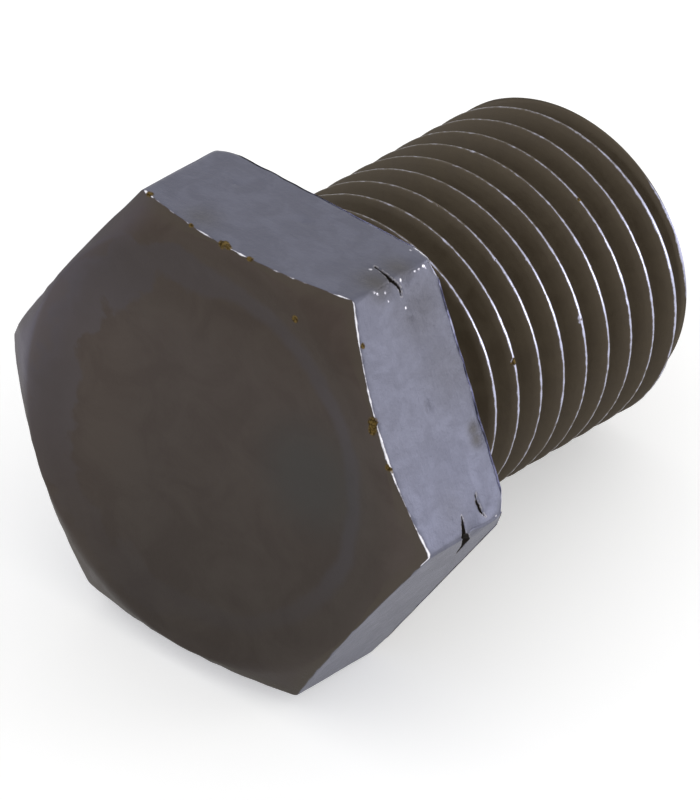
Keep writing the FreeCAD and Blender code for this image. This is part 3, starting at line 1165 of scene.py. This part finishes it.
# The world's light on the plug and the floor, and its brightness where it is seen
WORLD_LIGHT = 0.8
WORLD_SEEN = 1.0
# A lamp's direction from the plug, its distance, its size and its power
WINDOW = ((0.7, 0.7, 0.15), 0.3, 0.15, 0.22)
LAMP_TARGET = Vector((0, 0, 0.01))
CAMERA_PLACE = Vector((0.286183, -0.370074, 0.382864))
CAMERA_RIGHT = Vector((0.774554, 0.631858, 0.028651))
CAMERA_UP = Vector((-0.414078, 0.472308, 0.778116))
# Lens and sensor in millimetres, and the nearest distance that is drawn
LENS = 661.512
SENSOR = 36
CLIP_START = 0.01


def seen_rays(nodes):
    """1 where the camera sees something, also in a mirror or through glass, and 0 for other light."""
    rays = nodes.add("ShaderNodeLightPath").outputs
    seen = nodes.maths("MAXIMUM", rays["Is Camera Ray"], rays["Is Glossy Ray"])
    return nodes.maths("MAXIMUM", seen, rays["Is Transmission Ray"])


def make_floor():
    """A pale floor that glows a little where it is seen."""
    mesh = bpy.data.meshes.new("floor")
    near_left = (-FLOOR_HALF, -FLOOR_HALF, 0)
    near_right = (FLOOR_HALF, -FLOOR_HALF, 0)
    far_right = (FLOOR_HALF, FLOOR_HALF, 0)
    far_left = (-FLOOR_HALF, FLOOR_HALF, 0)
    mesh.from_pydata([near_left, near_right, far_right, far_left], [], [(0, 1, 2, 3)])
    floor = bpy.data.objects.new("floor", mesh)
    bpy.context.scene.collection.objects.link(floor)
    material, nodes, shader = principled("pale floor", 0.0)
    shader.inputs["Base Color"].default_value = FLOOR_COLOUR
    shader.inputs["Roughness"].default_value = FLOOR_ROUGHNESS
    shader.inputs["Emission Color"].default_value = WHITE
    nodes.feed(shader.inputs["Emission Strength"], nodes.product(seen_rays(nodes), FLOOR_GLOW))
    mesh.materials.append(material)


def make_world():
    """Plain soft light from all round, white where it is seen."""
    world = bpy.data.worlds.new("studio")
    world.use_nodes = True
    bpy.context.scene.world = world
    nodes = Nodes(world.node_tree)
    light = world.node_tree.nodes["Background"]
    light.inputs["Color"].default_value = WHITE
    nodes.feed(light.inputs["Strength"], nodes.step(seen_rays(nodes), 0.0, 1.0, WORLD_LIGHT, WORLD_SEEN))


def make_lamp(name, direction, distance, size, energy):
    """A soft square lamp that faces the plug from a direction."""
    lamp = bpy.data.lights.new(name, "AREA")
    lamp.size = size
    lamp.energy = energy
    item = bpy.data.objects.new(name, lamp)
    towards = Vector(direction).normalized()
    item.location = towards * distance + LAMP_TARGET
    item.rotation_euler = towards.to_track_quat("Z", "Y").to_euler()
    bpy.context.scene.collection.objects.link(item)


def make_camera():
    """Long lens, above and to the front right of the head."""
    camera = bpy.data.cameras.new("camera")
    camera.lens = LENS
    camera.sensor_width = SENSOR
    camera.clip_start = CLIP_START
    item = bpy.data.objects.new("camera", camera)
    back = CAMERA_RIGHT.cross(CAMERA_UP)
    turn = Matrix((CAMERA_RIGHT, CAMERA_UP, back)).transposed().to_4x4()
    item.matrix_world = Matrix.Translation(CAMERA_PLACE) @ turn
    bpy.context.scene.collection.objects.link(item)
    bpy.context.scene.camera = item


bpy.context.scene.view_settings.view_transform = "Standard"
make_camera()
make_world()
make_floor()
make_lamp("window", *WINDOW)
make_plug()

bpy.context.view_layer.update()
